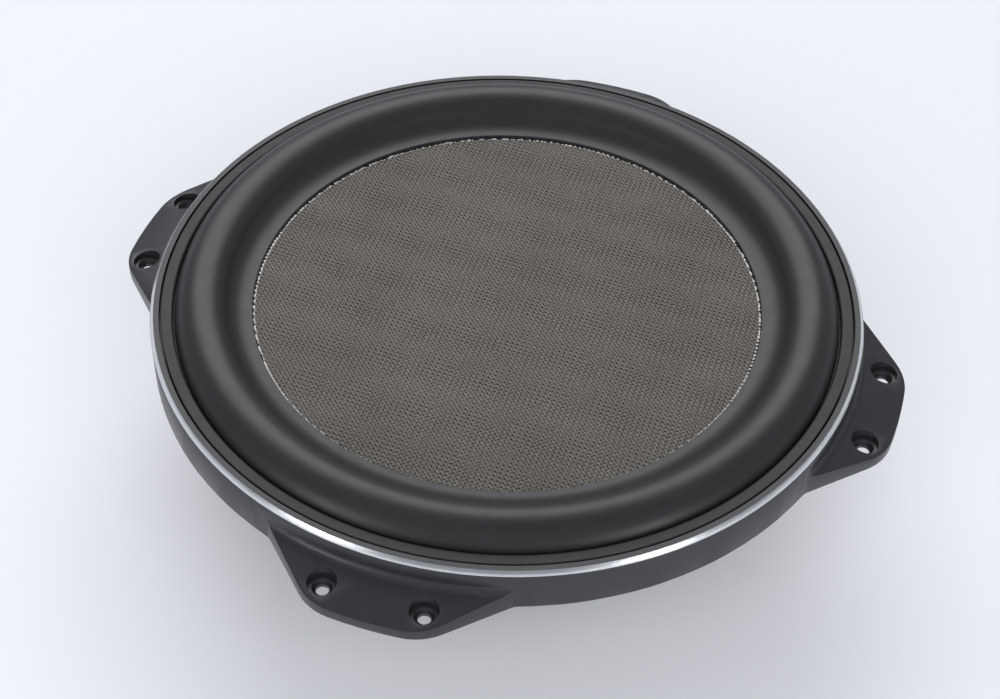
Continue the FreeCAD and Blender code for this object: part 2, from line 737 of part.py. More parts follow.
def motor():
    """Everything that stays still behind the basket."""
    yoke()
    shorting_outer = S["magnet_bore"] - S["shorting_gap"]
    tube_piece("shorting_ring", shorting_outer - S["shorting_width"], shorting_outer,
               yoke_top, yoke_top + S["shorting_height"])
    tube_piece("ferrite_magnet", S["magnet_bore"], S["magnet_radius"], yoke_top, magnet_top)
    top_plate()
    magnet_boot()
    vent_screen()
    base_screws()


# ---- the voice coil and the cone --------------------------------------------

def leg(radius, drop):
    """How far from its middle an arc of the roll meets a level below its centre."""
    return root(radius * radius - drop * drop)


def surround():
    """Rubber half roll with a foot on the basket, and a flat and a foot on the cone."""
    body = new_body("surround")
    wall = S["roll_wall"]
    bare = roll_radius - wall
    land_under = inner_land_top - wall
    foot_end = lip_radius - S["inner_foot"]
    land_end = roll_centre - leg(roll_radius, roll_middle - inner_land_top)
    crest = FreeCAD.Vector(plain(roll_centre), plain(roll_middle + roll_radius), 0)
    hollow = FreeCAD.Vector(plain(roll_centre), plain(roll_middle + bare), 0)
    corners = [
        (gasket_outer, land_top), (gasket_outer, outer_foot_top),
        (roll_centre + leg(roll_radius, roll_middle - outer_foot_top), outer_foot_top),
        (land_end, inner_land_top), (lip_radius, inner_land_top), (lip_radius, skin_low),
        (foot_end, skin_low), (foot_end, lap_high), (lip_radius + wall, lap_high),
        (lip_radius + wall, land_under),
        (roll_centre - leg(bare, roll_middle - land_under), land_under),
        (roll_centre + leg(bare, roll_middle - land_top), land_top)]
    points = [FreeCAD.Vector(plain(x), plain(y), 0) for x, y in corners]
    sketch = new_sketch(body, "surround_section", "XZ_Plane")
    bows = {2: crest, 10: hollow}
    for index, point in enumerate(points):
        after = points[(index + 1) % len(points)]
        if index in bows:
            sketch.addGeometry(Part.Arc(point, bows[index], after))
        else:
            sketch.addGeometry(Part.LineSegment(point, after))
    hold_ends(sketch, points)
    for index, corner in enumerate(corners):
        pin_corner(sketch, index, near_end(sketch, index, points[index]), corner)
    for index, radius in ((2, roll_radius), (10, bare)):
        bow = sketch.addConstraint(Sketcher.Constraint("Radius", index, plain(radius)))
        sketch.setExpression(f"Constraints[{bow}]", formula(radius))
    roll = body.newObject("PartDesign::Revolution", "surround_turned")
    roll.Profile = sketch
    roll.ReferenceAxis = (sketch, ["V_Axis"])
    roll.Angle = 360
    doc.recompute()
    seam = plain(land_end)
    round_edges(body, "land_rounding", S["land_round"],
                lambda edge: isinstance(edge.Curve, Part.Circle)
                and abs(edge.Curve.Radius - seam) < 0.01
                and abs(middle_of(edge)[1] - plain(inner_land_top)) < 0.01)
    node(body, "surround")


def near_end(sketch, element, point):
    """Which end of a sketch element lies at a point: 1 or 2."""
    first = sketch.getPoint(element, 1).distanceToPoint(point)
    second = sketch.getPoint(element, 2).distanceToPoint(point)
    return 1 if first < second else 2


def hold_ends(sketch, points):
    """Join each element of a closed outline to the next."""
    count = len(points)
    for index in range(count):
        after = (index + 1) % count
        here = near_end(sketch, index, points[after])
        there = near_end(sketch, after, points[after])
        sketch.addConstraint(Sketcher.Constraint("Coincident", index, here, after, there))


def spider():
    """Corrugated cloth disc from its seat on the basket to the former."""
    outer = plain(shelf_outer) - 0.5
    inner = plain(neck_inner)
    foot = outer - plain(S["spider_foot"])
    low = plain(shelf_top)
    wall = plain(S["spider_wall"])
    wave = plain(S["spider_wave"])
    rise = plain(S["spider_rise"])
    starts = [foot - wave * index for index in range(int(plain(S["spider_waves"])) + 1)]

    def waves(height, places):
        edges = []
        for index, (here, there) in enumerate(zip(places, places[1:])):
            crest = height + (rise if index % 2 == 0 else -rise)
            edges.append(Part.Arc(point(here, height), point((here + there) / 2, crest),
                                  point(there, height)).toShape())
        return edges

    def point(radius, height):
        return FreeCAD.Vector(radius, 0, height)

    def line(here, there):
        return Part.makeLine(point(*here), point(*there))

    collar = low + plain(S["spider_collar"])
    top = low + wall
    end = starts[-1]
    edges = [line((outer, low), (outer, top)), line((outer, top), (foot, top))]
    edges += waves(top, starts)
    edges += [line((end, top), (inner + wall, top)), line((inner + wall, top), (inner + wall, collar)),
              line((inner + wall, collar), (inner, collar)), line((inner, collar), (inner, low)),
              line((inner, low), (end, low))]
    edges += waves(low, starts)
    edges.append(line((foot, low), (outer, low)))
    face = Part.Face(Part.Wire(Part.__sortEdges__(edges)))
    disc = doc.addObject("Part::Feature", "spider_body")
    disc.Shape = face.revolve(FreeCAD.Vector(), FreeCAD.Vector(0, 0, 1), 360)
    node(disc, "spider")


def cone():
    """Stiff pressed cone with a flat lap for the surround's foot and the skin."""
    wall = S["cone_wall"]
    foot = neck_outer + S["glue_gap"]
    lap_start = skin_radius - S["cone_flat"]
    turned_piece("cone_body", [
        (foot, cone_foot - wall), (lap_start, lap_low), (skin_radius, lap_low),
        (skin_radius, lap_high), (lap_start - 0.4, lap_high), (foot, cone_foot + 0.3)])


def moving_parts():
    """Everything that the coil drives."""
    tube_piece("coil_former", former_inner, former_outer, coil_low - S["former_tail"], neck_high)
    tube_piece("coil_winding_inner", winding_inner, winding_middle, coil_low, coil_high)
    tube_piece("coil_winding_outer", winding_middle + S["glue_gap"], winding_outer, coil_low, coil_high)
    tube_piece("coil_wrap", winding_inner, winding_inner + S["wrap_wall"], coil_high, shelf_top)
    tube_piece("neck_ring", neck_inner, neck_outer, neck_low, neck_high)
    tube_piece("drive_tube", neck_inner, neck_inner + S["cone_wall"], neck_high, skin_low)
    tube_piece("woven_skin", 0, skin_radius, skin_low, skin_top)
    cone()
    spider()
    surround()


def front_rings():
    """Gasket in front of the surround's foot, and the ring on the spider's foot."""
    tube_piece("front_gasket", gasket_inner, gasket_outer, outer_foot_top, gasket_top)
    tube_piece("spider_clamp_ring", shelf_outer - S["spider_foot"], shelf_outer - 0.5,
               spider_top, spider_top + S["clamp_height"])


# ---- the terminals ----------------------------------------------------------

def terminal_screw_places():
    """Where the two terminal screws stand along the arm."""
    middle = block_inner + S["block_depth"] / 2
    half = S["post_screw_pitch"] / 2
    return [middle - half, middle + half]


def post_places():
    """The two push buttons' axes: along the arm, and across it."""
    along = block_inner + S["block_depth"] / 2
    return {"plus": (along, S["post_offset"]), "minus": (along, -S["post_offset"])}


wire_height = block_low + S["guide_length"] / 2
chamber_low = block_low + S["guide_length"]
contact_low = block_top - 2
collar_low = chamber_low + S["button_gap"]


def terminal_block(side, turn):
    """Moulded block with two spring chambers, two wire holes and two screw holes."""
    body = new_body(f"terminal_block_{side}")
    half = S["block_width"] / 2
    sketch = new_sketch(body, "block_plan", "XY_Plane", block_low)
    outline(sketch, [(block_inner, -half), (block_outer, -half), (block_outer, half), (block_inner, half)])
    pad(body, sketch, "block", S["block_height"])
    for name, radius, low in (("guide", S["guide_radius"], block_low - 1),
                              ("chamber", S["chamber_radius"], chamber_low)):
        sketch = new_sketch(body, name + "_circles", "XY_Plane", low)
        for place in post_places().values():
            circle(sketch, place, radius)
        pocket(body, sketch, name, S["block_height"] + 2)
    sketch = new_sketch(body, "channel_plan", "XY_Plane", contact_low)
    channel = S["contact_width"] / 2 + 0.2
    for along, across in post_places().values():
        outline(sketch, [(block_inner - 1, across - channel), (along, across - channel),
                         (along, across + channel), (block_inner - 1, across + channel)])
    pocket(body, sketch, "channels", 3)
    sketch = new_sketch(body, "wire_circles", "YZ_Plane", block_inner + S["block_depth"] / 2)
    for along, across in post_places().values():
        circle(sketch, (across, wire_height), S["wire_radius"])
    pocket(body, sketch, "wire_holes", S["block_depth"])
    for name, radius, depth in (("screw_holes", S["post_screw"] + S["screw_gap"], S["block_height"] + 2),
                                ("head_holes", S["post_screw_head"] + 0.3, 4)):
        sketch = new_sketch(body, name + "_plan", "XY_Plane", block_low - 1)
        for x in terminal_screw_places():
            circle(sketch, (x, 0), radius)
        pocket(body, sketch, name, depth)
    bottom = plain(block_low)
    inner, outer = plain(block_inner), plain(block_outer)
    round_edges(body, "block_corners", 1.5,
                lambda edge: is_upright(edge) and abs(abs(edge.Vertexes[0].Y) - plain(half)) < 0.01)
    round_edges(body, "block_bottom", 0.6,
                lambda edge: abs(middle_of(edge)[1] - bottom) < 0.01
                and abs(edge.BoundBox.Center.z - bottom) < 0.01
                and (edge.BoundBox.XMin < inner + 1.6 or edge.BoundBox.XMax > outer - 1.6
                     or abs(edge.BoundBox.Center.y) > plain(half) - 1.6))
    node(body, f"terminal_block_{side}", turn)


def terminal_screws(side, turn):
    """Two pan-head screws that hold a terminal block up to its seat."""
    body = new_body(f"terminal_screws_{side}")
    head_low = block_low + 0.6
    head_high = block_low + 3
    sketch = new_sketch(body, "heads_plan", "XY_Plane", head_low)
    for x in terminal_screw_places():
        circle(sketch, (x, 0), S["post_screw_head"])
    pad(body, sketch, "heads", head_high - head_low)
    sketch = new_sketch(body, "shanks_plan", "XY_Plane", head_high - 0.5)
    for x in terminal_screw_places():
        circle(sketch, (x, 0), S["post_screw"])
    pad(body, sketch, "shanks", block_top + S["screw_bite"] - head_high + 0.5)
    sketch = new_sketch(body, "drive_plan", "XY_Plane", head_low - 1)
    far, near = S["drive_reach"], S["drive_half"]
    for x in terminal_screw_places():
        outline(sketch, [(x - far, -near), (x - near, -near), (x - near, -far), (x + near, -far),
                         (x + near, -near), (x + far, -near), (x + far, near), (x + near, near),
                         (x + near, far), (x - near, far), (x - near, near), (x - far, near)])
    pocket(body, sketch, "drives", S["drive_depth"] + 1)
    node(body, f"terminal_screws_{side}", turn)


def push_button(side, pole, turn):
    """Cap, stem with a cross hole for the wire, and a collar that keeps it in."""
    body = new_body(f"push_button_{side}_{pole}")
    place = post_places()[pole]
    stem = S["guide_radius"] - S["button_gap"]
    head_low = block_low - S["button_travel"] - S["button_cap"] - 0.3
    layers = [("cap", S["button_head"], head_low, S["button_cap"]),
              ("stem", stem, head_low + S["button_cap"] - 0.5, collar_low - head_low - S["button_cap"] + 1),
              ("collar", S["chamber_radius"] - S["button_gap"], collar_low, S["collar_height"])]
    for name, radius, low, height in layers:
        sketch = new_sketch(body, name + "_circle", "XY_Plane", low)
        circle(sketch, place, radius)
        pad(body, sketch, name, height)
    sketch = new_sketch(body, "cross_hole_circle", "YZ_Plane", block_inner)
    circle(sketch, (place[1], wire_height - S["button_travel"]), S["wire_radius"] - 0.3)
    pocket(body, sketch, "cross_hole", S["block_depth"])
    bottom = plain(head_low)
    round_edges(body, "cap_round", 1, lambda edge: isinstance(edge.Curve, Part.Circle)
                and abs(middle_of(edge)[1] - bottom) < 0.01)
    node(body, f"push_button_{side}_{pole}", turn)


def button_spring(side, pole, turn):
    """Coil spring between the button's collar and the contact."""
    along, across = (plain(value) for value in post_places()[pole])
    wire = plain(S["spring_wire"])
    low = plain(collar_low + S["collar_height"]) + wire + 0.05
    high = plain(contact_low) - wire - 0.05
    coil_radius = plain(S["chamber_radius"]) - 1.6
    helix = Part.makeHelix((high - low) / plain(S["spring_turns"]), high - low, coil_radius)
    corners = [FreeCAD.Vector(coil_radius + wire * math.cos(way), 0, wire * math.sin(way))
               for way in (math.pi * step / 4 for step in range(9))]
    section = Part.makePolygon(corners)
    for shape in (helix, section):
        shape.translate(FreeCAD.Vector(along, across, low))
    coil = Part.Wire(helix).makePipeShell([section], True, True)
    spring = doc.addObject("Part::Feature", f"button_spring_{side}_{pole}_body")
    spring.Shape = coil
    node(spring, f"button_spring_{side}_{pole}", turn)


def contact(side, pole, turn):
    """Brass strip over the spring chamber, bent up into a solder lug."""
    body = new_body(f"contact_{side}_{pole}")
    along, across = post_places()[pole]
    half = S["contact_width"] / 2
    wall = S["contact_wall"]
    lug = block_inner - S["lug_reach"]
    end = along + S["chamber_radius"] - 0.6
    sketch = new_sketch(body, "strip_plan", "XY_Plane", contact_low)
    outline(sketch, [(lug, across - half), (end, across - half), (end, across + half), (lug, across + half)])
    pad(body, sketch, "strip", wall)
    sketch = new_sketch(body, "lug_plan", "XY_Plane", contact_low)
    outline(sketch, [(lug, across - half), (lug + wall, across - half),
                     (lug + wall, across + half), (lug, across + half)])
    pad(body, sketch, "lug", S["lug_height"])
    node(body, f"contact_{side}_{pole}", turn)


def tinsel_lead(side, pole, turn):
    """Braided lead from a solder lug to the neck of the coil former."""
    across = plain(S["post_offset"]) * (1 if pole == "plus" else -1)
    lug = plain(block_inner - S["lug_reach"])
    high = plain(contact_low + S["lug_height"]) - 1.6
    neck = plain(neck_outer) + 0.05
    run = lug - neck
    low = plain(neck_low) + 2
    shares = [(0, 1.0, 0.0), (0.10, 1.0, 0.25), (0.30, 0.84, 0.6), (0.55, 0.62, -0.8),
              (0.80, 0.47, -0.35), (0.93, 0.44, 0.0), (1, 0.44, 0.0)]
    route = [FreeCAD.Vector(lug - run * share, across * spread, low + (high - low) * (1 - share) + lift)
             for share, spread, lift in shares]
    route[-2].z = low
    route[1].z = high
    lead = doc.addObject("Part::Feature", f"tinsel_lead_{side}_{pole}_body")
    lead.Shape = rounded_tube(route, plain(S["lead_radius"]))
    node(lead, f"tinsel_lead_{side}_{pole}", turn)


def rounded_tube(route, radius):
    """A tube along straight runs joined by arcs that touch them."""
    edges = []
    here = route[0]
    for before, corner, after in zip(route, route[1:], route[2:]):
        back = (before - corner).normalize()
        ahead = (after - corner).normalize()
        turn = math.pi - back.getAngle(ahead)
        reach = 0.45 * min(before.distanceToPoint(corner), after.distanceToPoint(corner))
        bend = reach / math.tan(turn / 2)
        start, end = corner + back * reach, corner + ahead * reach
        towards = (back + ahead).normalize()
        centre_distance = math.hypot(bend, reach)
        waist = corner + towards * (centre_distance - bend)
        edges.append(Part.makeLine(here, start))
        edges.append(Part.Arc(start, waist, end).toShape())
        here = end
    edges.append(Part.makeLine(here, route[-1]))
    path = Part.Wire(edges)
    section = Part.Wire(Part.makeCircle(radius, route[0], route[1] - route[0]))
    tube = path.makePipeShell([section], True, True)
    expected = math.pi * radius * radius * path.Length
    if abs(tube.Volume - expected) > 0.02 * expected:
        raise ValueError("a lead's volume is not its section times its length")
    return tube


def terminals():
    """Two push terminals, each with its screws, buttons, springs, contacts and leads."""
    for side, turn in (("right", 0), ("left", 180)):
        terminal_block(side, turn)
        terminal_screws(side, turn)
        for pole in ("plus", "minus"):
            push_button(side, pole, turn)
            button_spring(side, pole, turn)
            contact(side, pole, turn)
            tinsel_lead(side, pole, turn)


# ---- the whole speaker --------------------------------------------------------

def check(document):
    """Stop if any object failed or any node is not a valid solid."""
    for item in document.Objects:
        if "Invalid" in item.State or "Error" in item.State:
            raise ValueError(f"{item.Label} failed: {item.State}")
    for piece in NODES:
        if piece.Shape.isNull() or not piece.Shape.isValid():
            raise ValueError(f"{piece.Label} has no valid shape")


def write_steps(folder):
    """One STEP file for each node."""
    os.makedirs(folder, exist_ok=True)
    for piece in NODES:
        piece.Shape.exportStep(f"{folder}/{piece.Label}.step")
        print(f"{piece.Label:28s} {piece.Shape.Volume / 1000:9.3f} cm3  {len(piece.Shape.Solids)} solid")


basket()
front_rings()
motor()
moving_parts()
terminals()
doc.recompute()
check(doc)
write_steps("parts")
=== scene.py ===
"""The looks of a shallow 12-inch car subwoofer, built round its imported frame.

Metres.  The axis is Z, the listener is on +Z, and the four mounting ears lie
on +X, +Y, -X and -Y.  The sections follow the speaker as it is put together:
motor, basket, coil, cone, spider, surround, gasket, terminals.
"""
import math
import random

import bmesh
import bpy
from mathutils import Euler, Matrix, Vector
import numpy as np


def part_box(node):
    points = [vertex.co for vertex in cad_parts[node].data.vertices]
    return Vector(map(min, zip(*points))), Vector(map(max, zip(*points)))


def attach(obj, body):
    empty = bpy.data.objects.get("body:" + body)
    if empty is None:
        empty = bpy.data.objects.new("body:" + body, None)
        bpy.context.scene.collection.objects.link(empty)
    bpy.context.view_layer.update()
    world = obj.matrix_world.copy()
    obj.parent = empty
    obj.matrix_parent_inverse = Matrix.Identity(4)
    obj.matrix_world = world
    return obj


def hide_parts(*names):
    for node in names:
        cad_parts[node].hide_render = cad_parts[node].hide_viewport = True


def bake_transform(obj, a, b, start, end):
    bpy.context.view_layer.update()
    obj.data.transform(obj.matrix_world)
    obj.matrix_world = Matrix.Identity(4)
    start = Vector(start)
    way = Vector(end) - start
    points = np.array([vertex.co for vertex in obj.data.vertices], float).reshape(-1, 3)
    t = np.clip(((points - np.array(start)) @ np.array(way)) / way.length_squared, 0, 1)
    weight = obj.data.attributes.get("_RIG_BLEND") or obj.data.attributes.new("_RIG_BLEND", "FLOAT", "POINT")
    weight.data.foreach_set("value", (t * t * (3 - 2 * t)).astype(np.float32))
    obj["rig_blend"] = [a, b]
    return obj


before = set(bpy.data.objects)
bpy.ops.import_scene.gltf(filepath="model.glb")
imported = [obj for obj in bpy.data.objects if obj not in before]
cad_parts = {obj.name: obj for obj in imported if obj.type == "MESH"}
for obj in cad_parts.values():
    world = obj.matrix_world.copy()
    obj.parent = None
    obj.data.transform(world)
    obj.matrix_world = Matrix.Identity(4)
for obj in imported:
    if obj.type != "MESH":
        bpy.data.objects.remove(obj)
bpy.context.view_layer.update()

MM = 0.001
FULL_TURN = 2 * math.pi


# ---- yoke, magnet and top plate --------------------------------------------
# The magnetic circuit: a turned steel yoke with its pole, a ground ferrite ring
# and a steel top plate, glued into one stack.  The yoke is zinc plated, the
# plate is plated black, and an aluminium ring sits inside the ferrite.

class Finish:
    """A material: one Principled shader with patterns in object coordinates."""

    def __init__(self, name, colour, roughness, metallic=0.0, **constants):
        self.material = bpy.data.materials.new(name)
        self.material.use_nodes = True
        self.tree = self.material.node_tree
        self.shader = self.tree.nodes["Principled BSDF"]
        self.set(self.shader, "Base Color", (*colour, 1))
        self.set(self.shader, "Roughness", roughness)
        self.set(self.shader, "Metallic", metallic)
        for socket, value in constants.items():
            self.set(self.shader, socket.replace("_", " "), value)
        self.place = self.add("ShaderNodeTexCoord").outputs["Object"]
        self.normal = None

    def set(self, node, socket, value):
        """Put a constant on a socket, or link another node's output to it."""
        if isinstance(value, bpy.types.NodeSocket):
            self.tree.links.new(value, node.inputs[socket])
        else:
            node.inputs[socket].default_value = value

    def add(self, kind, output=None, settings=(), **inputs):
        """A new node with its inputs; returns the node, or one of its outputs."""
        node = self.tree.nodes.new(kind)
        for setting, value in dict(settings).items():
            setattr(node, setting, value)
        for socket, value in inputs.items():
            self.set(node, socket.replace("_", " "), value)
        return node if output is None else node.outputs[output]

    def turned_place(self, angle=0.0, stretch=(1, 1, 1)):
        """Object coordinates turned about Z and stretched."""
        return self.add("ShaderNodeMapping", "Vector", Vector=self.place,
                        Rotation=(0, 0, angle), Scale=stretch)

    def noise(self, grain, detail=3.0, place=None):
        """Cloudy noise whose clouds are about one grain across, from 0 to 1."""
        return self.add("ShaderNodeTexNoise", "Fac", Vector=place or self.place,
                        Scale=1 / grain, Detail=detail)

    def radius(self):
        """Distance from the axis."""
        flat = self.add("ShaderNodeVectorMath", "Vector", {"operation": "MULTIPLY"})
        flat.node.inputs[1].default_value = (1, 1, 0)
        self.tree.links.new(self.place, flat.node.inputs[0])
        away = self.add("ShaderNodeVectorMath", "Value", {"operation": "LENGTH"})
        self.tree.links.new(flat, away.node.inputs[0])
        return away

    def lathe_lines(self, pitch):
        """Fine rings left by a turning tool."""
        return self.add("ShaderNodeTexNoise", "Fac", {"noise_dimensions": "1D"},
                        W=self.radius(), Scale=1 / pitch, Detail=2.0)

    def span(self, value, low, high, to_low=0.0, to_high=1.0):
        """Map low-high to another span, and stop at its ends."""
        return self.add("ShaderNodeMapRange", "Result", Value=value, From_Min=low,
                        From_Max=high, To_Min=to_low, To_Max=to_high)

    def tint(self, share, first, second):
        """Colour the surface from first to second by a share."""
        mix = self.add("ShaderNodeMix", settings={"data_type": "RGBA"})
        self.set(mix, "Factor", share)
        mix.inputs[6].default_value = (*first, 1)
        mix.inputs[7].default_value = (*second, 1)
        self.set(self.shader, "Base Color", mix.outputs[2])
        return mix

    def tint_over(self, mix, share, colour):
        """Lay another colour over a tint."""
        over = self.add("ShaderNodeMix", settings={"data_type": "RGBA"})
        self.set(over, "Factor", share)
        self.tree.links.new(mix.outputs[2], over.inputs[6])
        over.inputs[7].default_value = (*colour, 1)
        self.set(self.shader, "Base Color", over.outputs[2])
        return over

    def gloss(self, share, dull, bright):
        """Roughness from dull to bright by a share."""
        self.set(self.shader, "Roughness", self.span(share, 0.0, 1.0, dull, bright))

    def soft_edges(self, radius):
        """Catch the light on sharp edges as if they were rounded."""
        self.normal = self.add("ShaderNodeBevel", "Normal", {"samples": 6}, Radius=radius)
        self.set(self.shader, "Normal", self.normal)

    def relief(self, height, depth):
        """Raise the surface by a height from 0 to 1 times a depth."""
        bump = self.add("ShaderNodeBump", "Normal", Height=height, Distance=depth, Strength=1.0)
        if self.normal is not None:
            self.set(bump.node, "Normal", self.normal)
        self.normal = bump
        self.set(self.shader, "Normal", bump)


def paint_node(name, finish):
    """Give a carried-over node its material."""
    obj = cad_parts[name]
    obj.data.materials.clear()
    obj.data.materials.append(finish.material)


zinc = Finish("zinc_plated_steel", (0.5, 0.51, 0.53), 0.35, metallic=1.0)
zinc.soft_edges(0.4 * MM)
zinc.tint(zinc.noise(9 * MM), (0.42, 0.44, 0.48), (0.6, 0.59, 0.55))
zinc.gloss(zinc.noise(2 * MM), 0.46, 0.26)
zinc.relief(zinc.lathe_lines(0.35 * MM), 0.02 * MM)
paint_node("yoke", zinc)

black_steel = Finish("black_plated_steel", (0.03, 0.03, 0.032), 0.36, metallic=0.7)
black_steel.soft_edges(0.4 * MM)
black_steel.tint(black_steel.noise(7 * MM), (0.02, 0.02, 0.022), (0.045, 0.045, 0.05))
black_steel.relief(black_steel.lathe_lines(0.4 * MM), 0.02 * MM)
paint_node("top_plate", black_steel)

ferrite = Finish("ground_ferrite", (0.05, 0.05, 0.052), 0.62)
ferrite.soft_edges(0.6 * MM)
ferrite.tint(ferrite.noise(3 * MM, 8.0), (0.035, 0.035, 0.037), (0.085, 0.085, 0.088))
ferrite.relief(ferrite.noise(0.5 * MM, 6.0), 0.06 * MM)
paint_node("ferrite_magnet", ferrite)

turned_aluminium = Finish("turned_aluminium", (0.8, 0.8, 0.81), 0.28, metallic=1.0)
turned_aluminium.tint(turned_aluminium.noise(8 * MM), (0.72, 0.73, 0.75), (0.86, 0.86, 0.85))
turned_aluminium.relief(turned_aluminium.lathe_lines(0.25 * MM), 0.02 * MM)
paint_node("shorting_ring", turned_aluminium)


# ---- magnet boot ------------------------------------------------------------
# A moulded rubber cup pushed over the motor from behind, open in the middle for
# the vent.  Three raised beads run round its side and two rings its back.

def arc(middle, radius, start, end, count):
    """Points (radius, height) along an arc, angles in degrees."""
    turn = [math.radians(start + (end - start) * step / count) for step in range(count + 1)]
    return [(middle[0] + radius * math.cos(way), middle[1] + radius * math.sin(way))
            for way in turn]


def turned(profile, steps):
    """A bmesh of a closed profile of (radius, height) points, spun round the axis."""
    bm = bmesh.new()
    corners = [bm.verts.new((radius, 0, height)) for radius, height in profile]
    for index, corner in enumerate(corners):
        bm.edges.new((corner, corners[(index + 1) % len(corners)]))
    bmesh.ops.spin(bm, geom=bm.verts[:] + bm.edges[:], cent=(0, 0, 0), axis=(0, 0, 1),
                   angle=FULL_TURN, steps=steps, use_merge=True)
    bmesh.ops.remove_doubles(bm, verts=bm.verts, dist=1e-7)
    bmesh.ops.recalc_face_normals(bm, faces=bm.faces)
    return bm


def new_piece(name, bm, finish, body=None):
    """Make a bmesh a smooth piece with a material; it rides on a body if one is given."""
    mesh = bpy.data.meshes.new(name)
    for edge in bm.edges:
        sharp = len(edge.link_faces) == 2 and edge.calc_face_angle() > math.radians(38)
        edge.smooth = not sharp
    for face in bm.faces:
        face.smooth = True
    bm.to_mesh(mesh)
    bm.free()
    obj = bpy.data.objects.new(name, mesh)
    bpy.context.scene.collection.objects.link(obj)
    mesh.materials.append(finish.material)
    if body is not None:
        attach(obj, body)
    return obj


def bead_up(radius, width, height, level):
    """A raised half-round bead on a level surface that looks down, as profile points."""
    return [(radius + width / 2 - width * step / 6, level - height * math.sin(math.pi * step / 6))
            for step in range(7)]


boot_low, boot_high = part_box("magnet_boot")
BOOT_OUTER = boot_high[0] - 0.3 * MM
BOOT_WALL = 2.5 * MM
BOOT_HOLE = 20 * MM
BOOT_CORNER = 3 * MM
BEAD_WIDTH = 2.2 * MM
BEAD_HEIGHT = 0.5 * MM
BOOT_EDGE = 0.4 * MM
BOOT_MOUTH = 0.6 * MM
BOOT_STEPS = 144

boot_rubber = Finish("boot_rubber", (0.02, 0.02, 0.02), 0.5, Specular_IOR_Level=0.4)
boot_rubber.tint(boot_rubber.noise(14 * MM), (0.013, 0.013, 0.013), (0.03, 0.03, 0.031))
boot_rubber.gloss(boot_rubber.noise(5 * MM), 0.6, 0.42)
boot_rubber.relief(boot_rubber.noise(0.35 * MM), 0.03 * MM)

boot_back = boot_low[2] + BEAD_HEIGHT
boot_inner = BOOT_OUTER - BOOT_WALL
side_bead_levels = [boot_back + (boot_high[2] - boot_back) * share for share in (0.3, 0.5, 0.7)]
boot_profile = [(BOOT_HOLE, boot_low[2] + BOOT_WALL), (BOOT_HOLE, boot_back + BOOT_EDGE),
                (BOOT_HOLE + BOOT_EDGE, boot_back)]
for ring_radius in (45 * MM, 26 * MM):
    boot_profile[3:3] = list(reversed(bead_up(ring_radius, BEAD_WIDTH, BEAD_HEIGHT, boot_back)))
boot_profile += arc((BOOT_OUTER - BOOT_CORNER, boot_back + BOOT_CORNER), BOOT_CORNER, -90, 0, 8)
for level in side_bead_levels:
    boot_profile += [(BOOT_OUTER + 0.3 * MM * math.sin(math.pi * step / 6),
                      level + BEAD_WIDTH * (step / 6 - 0.5)) for step in range(7)]
boot_profile += arc((BOOT_OUTER - BOOT_MOUTH, boot_high[2] - BOOT_MOUTH), BOOT_MOUTH, 0, 90, 4)
boot_profile += [(boot_inner, boot_high[2]), (boot_inner, boot_low[2] + BOOT_WALL)]
boot = new_piece("magnet_boot_rubber", turned(boot_profile, BOOT_STEPS), boot_rubber,
                 "frame")
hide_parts("magnet_boot")


# ---- vent screen ------------------------------------------------------------
# A disc of thin steel punched with rings of holes and pressed into the back of
# the pole's vent, which keeps dirt out of the gap.

screen_steel = Finish("screen_steel", (0.12, 0.12, 0.12), 0.4, metallic=0.9)
screen_steel.soft_edges(0.1 * MM)
screen_steel.tint(screen_steel.noise(3 * MM), (0.07, 0.07, 0.07), (0.18, 0.18, 0.18))
screen_steel.relief(screen_steel.noise(0.3 * MM), 0.02 * MM)
paint_node("vent_screen", screen_steel)


# ---- basket -----------------------------------------------------------------
# One aluminium die casting: foot, eight arms, the rim ring and four ears.  It is
# powder coated satin black, then the rim is turned and its corner cut to a bright
# chamfer with a diamond tool.

EDGE_ROUND = 0.45 * MM
CHAMFER_OUTER = 143 * MM
CHAMFER_INNER = 141.6 * MM
CHAMFER_DROP = 1.3 * MM
LAND_DROP = 0.3 * MM
EAR_DROP = 5 * MM
LAND_SLOT = 1
CHAMFER_SLOT = 2

cast_black = Finish("coated_casting", (0.02, 0.02, 0.022), 0.42, Specular_IOR_Level=0.5)
coat_cloud = cast_black.noise(11 * MM)
cast_black.tint(coat_cloud, (0.014, 0.014, 0.016), (0.021, 0.021, 0.024))
coat_grain = cast_black.noise(0.55 * MM, 4.0)
cast_black.gloss(coat_grain, 0.42, 0.3)
cast_black.relief(coat_grain, 0.035 * MM)

turned_land = Finish("turned_rim_land", (0.03, 0.03, 0.032), 0.4, Specular_IOR_Level=0.5)
turned_land.tint(turned_land.noise(9 * MM), (0.012, 0.012, 0.013), (0.02, 0.02, 0.022))
turned_land.relief(turned_land.lathe_lines(0.3 * MM), 0.02 * MM)

bright_cut = Finish("bright_cut_chamfer", (0.83, 0.84, 0.86), 0.24, metallic=1.0)
bright_cut.tint(bright_cut.noise(25 * MM), (0.5, 0.52, 0.55), (0.74, 0.74, 0.74))
bright_cut.gloss(bright_cut.lathe_lines(0.2 * MM), 0.34, 0.18)
bright_cut.relief(bright_cut.lathe_lines(0.12 * MM), 0.006 * MM)


def merged_copy(node):
    """A node's mesh as a bmesh, its loose triangles joined and its flats made whole."""
    bm = bmesh.new()
    bm.from_mesh(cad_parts[node].data)
    bmesh.ops.remove_doubles(bm, verts=bm.verts, dist=2e-6)
    bmesh.ops.dissolve_limit(bm, angle_limit=math.radians(0.4), verts=bm.verts,
                             edges=bm.edges, use_dissolve_boundaries=False)
    return bm


